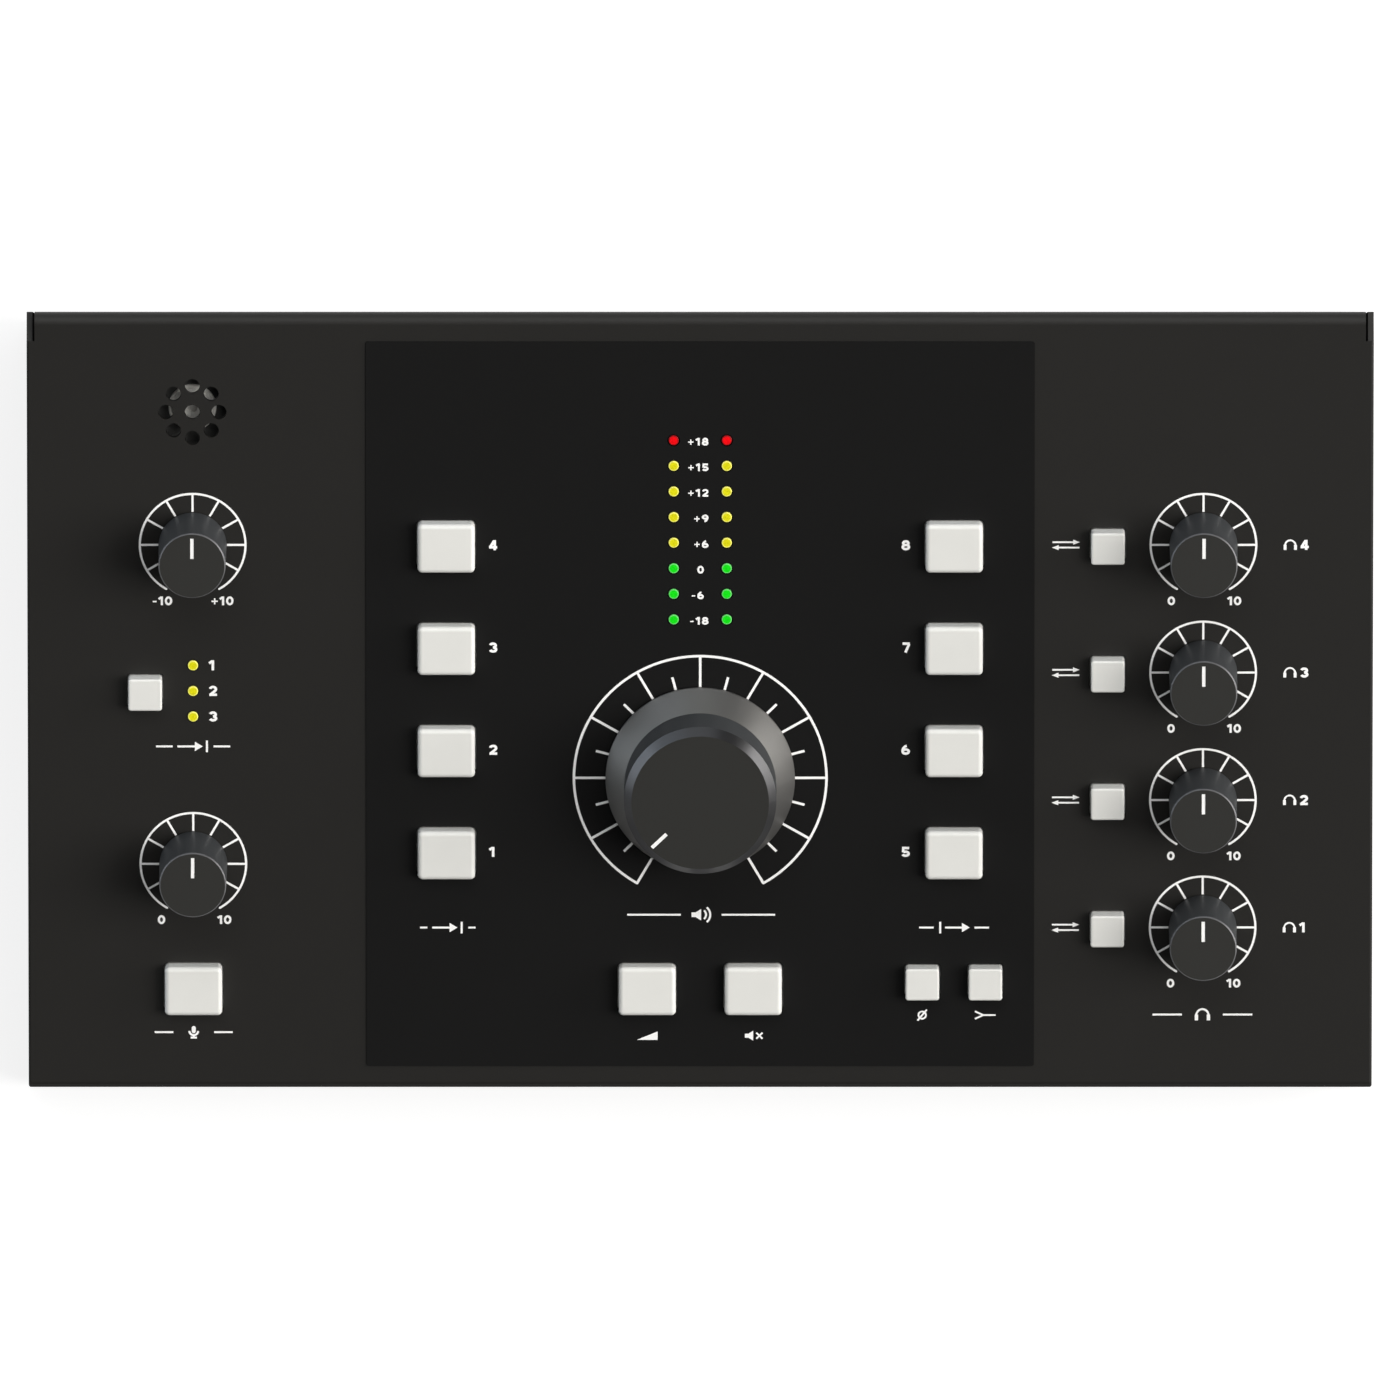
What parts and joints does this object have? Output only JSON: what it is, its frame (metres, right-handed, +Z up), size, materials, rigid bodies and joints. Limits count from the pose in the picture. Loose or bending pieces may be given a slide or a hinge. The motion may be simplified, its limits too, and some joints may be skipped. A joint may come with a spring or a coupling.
{
  "type": "studio monitor controller",
  "caption": "Low wedge-shaped desk-top monitor controller with knobs, push buttons and a level meter on its sloping deck and sockets at the rear.",
  "frame": {"origin": "on the desk, under the middle of the case's outline", "axes": "+X to the user's right, +Y to the rear, +Z up"},
  "size_m": [0.279, 0.1608, 0.0789],
  "materials": {
    "case_paint": "fine-texture powder coat",
    "panel_paint": "satin powder coat",
    "fascia_film": "fine matte",
    "foot_rubber": "matte",
    "fastener_steel": "black zinc",
    "circuit_board": "solder mask",
    "spacer_brass": "nickel-plated",
    "control_body": "moulded",
    "red_lens": "lit lamp",
    "yellow_lens": "lit lamp",
    "green_lens": "lit lamp",
    "mic_metal": "satin",
    "cap_plastic": "fine matte",
    "knob_plastic": "fine matte",
    "main_knob_metal": "dark anodised, turned",
    "shaft_steel": "turned",
    "socket_plastic": "moulded",
    "nut_plating": "bright nickel",
    "coax_plating": "gold flash",
    "inlet_pin_plating": "bright nickel",
    "rocker_plastic": "moulded gloss"
  },
  "bodies": {
    "case": {"top_cover": "case_paint", "base_plate": "panel_paint", "rear_panel": "panel_paint", "centre_fascia": "fascia_film", "rubber_feet": "foot_rubber", "m3_screws": "fastener_steel", "control_board": "circuit_board", "connector_board": "circuit_board", "board_standoffs": "spacer_brass", "main_encoder": "control_body", "level_pots": "control_body", "large_switches": "control_body", "small_switches": "control_body", "red_lenses": "red_lens", "yellow_lenses": "yellow_lens", "green_lenses": "green_lens", "mic_capsule": "mic_metal", "mic_boot": "foot_rubber", "line_jacks": "socket_plastic", "jack_nuts": "nut_plating", "coax_socket": "socket_plastic", "coax_shell": "coax_plating", "optical_socket": "socket_plastic", "aux_jack": "socket_plastic", "dc_inlet": "socket_plastic", "dc_pin": "inlet_pin_plating", "rocker_housing": "socket_plastic"},
    "cue_button": {"cue_button": "cap_plastic"},
    "alt_source_button": {"alt_source_button": "cap_plastic"},
    "source_2_button": {"source_2_button": "cap_plastic"},
    "source_1_button": {"source_1_button": "cap_plastic"},
    "sub_button": {"sub_button": "cap_plastic"},
    "alt_2_button": {"alt_2_button": "cap_plastic"},
    "alt_1_button": {"alt_1_button": "cap_plastic"},
    "main_button": {"main_button": "cap_plastic"},
    "dim_button": {"dim_button": "cap_plastic"},
    "cut_button": {"cut_button": "cap_plastic"},
    "talkback_button": {"talkback_button": "cap_plastic"},
    "input_button": {"input_button": "cap_plastic"},
    "phones_4_button": {"phones_4_button": "cap_plastic"},
    "phones_3_button": {"phones_3_button": "cap_plastic"},
    "phones_2_button": {"phones_2_button": "cap_plastic"},
    "phones_1_button": {"phones_1_button": "cap_plastic"},
    "polarity_button": {"polarity_button": "cap_plastic"},
    "mono_button": {"mono_button": "cap_plastic"},
    "mic_gain_knob": {"mic_gain_knob": "knob_plastic", "mic_gain_shaft": "shaft_steel"},
    "talkback_level_knob": {"talkback_level_knob": "knob_plastic", "talkback_level_shaft": "shaft_steel"},
    "phones_4_knob": {"phones_4_knob": "knob_plastic", "phones_4_shaft": "shaft_steel"},
    "phones_3_knob": {"phones_3_knob": "knob_plastic", "phones_3_shaft": "shaft_steel"},
    "phones_2_knob": {"phones_2_knob": "knob_plastic", "phones_2_shaft": "shaft_steel"},
    "phones_1_knob": {"phones_1_knob": "knob_plastic", "phones_1_shaft": "shaft_steel"},
    "main_knob": {"main_knob": "main_knob_metal", "main_shaft": "shaft_steel"},
    "power_rocker": {"power_rocker": "rocker_plastic"}
  },
  "joints": [
    {"name": "cue_button_press", "type": "slide", "parent": "case", "child": "cue_button", "axis": [0, 0.2672, -0.9636], "range_m": [0, 0.0015], "stiffness_N_per_m": 300, "springref_m": -0.003},
    {"name": "alt_source_button_press", "type": "slide", "parent": "case", "child": "alt_source_button", "axis": [0, 0.2672, -0.9636], "range_m": [0, 0.0015], "stiffness_N_per_m": 300, "springref_m": -0.003},
    {"name": "source_2_button_press", "type": "slide", "parent": "case", "child": "source_2_button", "axis": [0, 0.2672, -0.9636], "range_m": [0, 0.0015], "stiffness_N_per_m": 300, "springref_m": -0.003},
    {"name": "source_1_button_press", "type": "slide", "parent": "case", "child": "source_1_button", "axis": [0, 0.2672, -0.9636], "range_m": [0, 0.0015], "stiffness_N_per_m": 300, "springref_m": -0.003},
    {"name": "sub_button_press", "type": "slide", "parent": "case", "child": "sub_button", "axis": [0, 0.2672, -0.9636], "range_m": [0, 0.0015], "stiffness_N_per_m": 300, "springref_m": -0.003},
    {"name": "alt_2_button_press", "type": "slide", "parent": "case", "child": "alt_2_button", "axis": [0, 0.2672, -0.9636], "range_m": [0, 0.0015], "stiffness_N_per_m": 300, "springref_m": -0.003},
    {"name": "alt_1_button_press", "type": "slide", "parent": "case", "child": "alt_1_button", "axis": [0, 0.2672, -0.9636], "range_m": [0, 0.0015], "stiffness_N_per_m": 300, "springref_m": -0.003},
    {"name": "main_button_press", "type": "slide", "parent": "case", "child": "main_button", "axis": [0, 0.2672, -0.9636], "range_m": [0, 0.0015], "stiffness_N_per_m": 300, "springref_m": -0.003},
    {"name": "dim_button_press", "type": "slide", "parent": "case", "child": "dim_button", "axis": [0, 0.2672, -0.9636], "range_m": [0, 0.0015], "stiffness_N_per_m": 300, "springref_m": -0.003},
    {"name": "cut_button_press", "type": "slide", "parent": "case", "child": "cut_button", "axis": [0, 0.2672, -0.9636], "range_m": [0, 0.0015], "stiffness_N_per_m": 300, "springref_m": -0.003},
    {"name": "talkback_button_press", "type": "slide", "parent": "case", "child": "talkback_button", "axis": [0, 0.2672, -0.9636], "range_m": [0, 0.0015], "stiffness_N_per_m": 300, "springref_m": -0.003},
    {"name": "input_button_press", "type": "slide", "parent": "case", "child": "input_button", "axis": [0, 0.2672, -0.9636], "range_m": [0, 0.0012], "stiffness_N_per_m": 300, "springref_m": -0.003},
    {"name": "phones_4_button_press", "type": "slide", "parent": "case", "child": "phones_4_button", "axis": [0, 0.2672, -0.9636], "range_m": [0, 0.0012], "stiffness_N_per_m": 300, "springref_m": -0.003},
    {"name": "phones_3_button_press", "type": "slide", "parent": "case", "child": "phones_3_button", "axis": [0, 0.2672, -0.9636], "range_m": [0, 0.0012], "stiffness_N_per_m": 300, "springref_m": -0.003},
    {"name": "phones_2_button_press", "type": "slide", "parent": "case", "child": "phones_2_button", "axis": [0, 0.2672, -0.9636], "range_m": [0, 0.0012], "stiffness_N_per_m": 300, "springref_m": -0.003},
    {"name": "phones_1_button_press", "type": "slide", "parent": "case", "child": "phones_1_button", "axis": [0, 0.2672, -0.9636], "range_m": [0, 0.0012], "stiffness_N_per_m": 300, "springref_m": -0.003},
    {"name": "polarity_button_press", "type": "slide", "parent": "case", "child": "polarity_button", "axis": [0, 0.2672, -0.9636], "range_m": [0, 0.0012], "stiffness_N_per_m": 300, "springref_m": -0.003},
    {"name": "mono_button_press", "type": "slide", "parent": "case", "child": "mono_button", "axis": [0, 0.2672, -0.9636], "range_m": [0, 0.0012], "stiffness_N_per_m": 300, "springref_m": -0.003},
    {"name": "mic_gain_turn", "type": "hinge", "parent": "case", "child": "mic_gain_knob", "pos_m": [-0.1052, 0.03215, 0.06121], "axis": [0, -0.2672, 0.9636], "range_deg": [-150, 150]},
    {"name": "talkback_level_turn", "type": "hinge", "parent": "case", "child": "talkback_level_knob", "pos_m": [-0.1052, -0.034, 0.04287], "axis": [0, -0.2672, 0.9636], "range_deg": [-150, 150]},
    {"name": "phones_4_turn", "type": "hinge", "parent": "case", "child": "phones_4_knob", "pos_m": [0.1043, 0.03215, 0.06121], "axis": [0, -0.2672, 0.9636], "range_deg": [-150, 150]},
    {"name": "phones_3_turn", "type": "hinge", "parent": "case", "child": "phones_3_knob", "pos_m": [0.1043, 0.0057, 0.05388], "axis": [0, -0.2672, 0.9636], "range_deg": [-150, 150]},
    {"name": "phones_2_turn", "type": "hinge", "parent": "case", "child": "phones_2_knob", "pos_m": [0.1043, -0.02075, 0.04654], "axis": [0, -0.2672, 0.9636], "range_deg": [-150, 150]},
    {"name": "phones_1_turn", "type": "hinge", "parent": "case", "child": "phones_1_knob", "pos_m": [0.1043, -0.0472, 0.03921], "axis": [0, -0.2672, 0.9636], "range_deg": [-150, 150]},
    {"name": "main_turn", "type": "hinge", "parent": "case", "child": "main_knob", "pos_m": [0, -0.01608, 0.04784], "axis": [0, -0.2672, 0.9636], "range_deg": [-284, 16]},
    {"name": "power_rocker_tilt", "type": "hinge", "parent": "case", "child": "power_rocker", "pos_m": [0.118, 0.0688, 0.0405], "axis": [1, 0, 0], "range_deg": [-16, 0]}
  ]
}
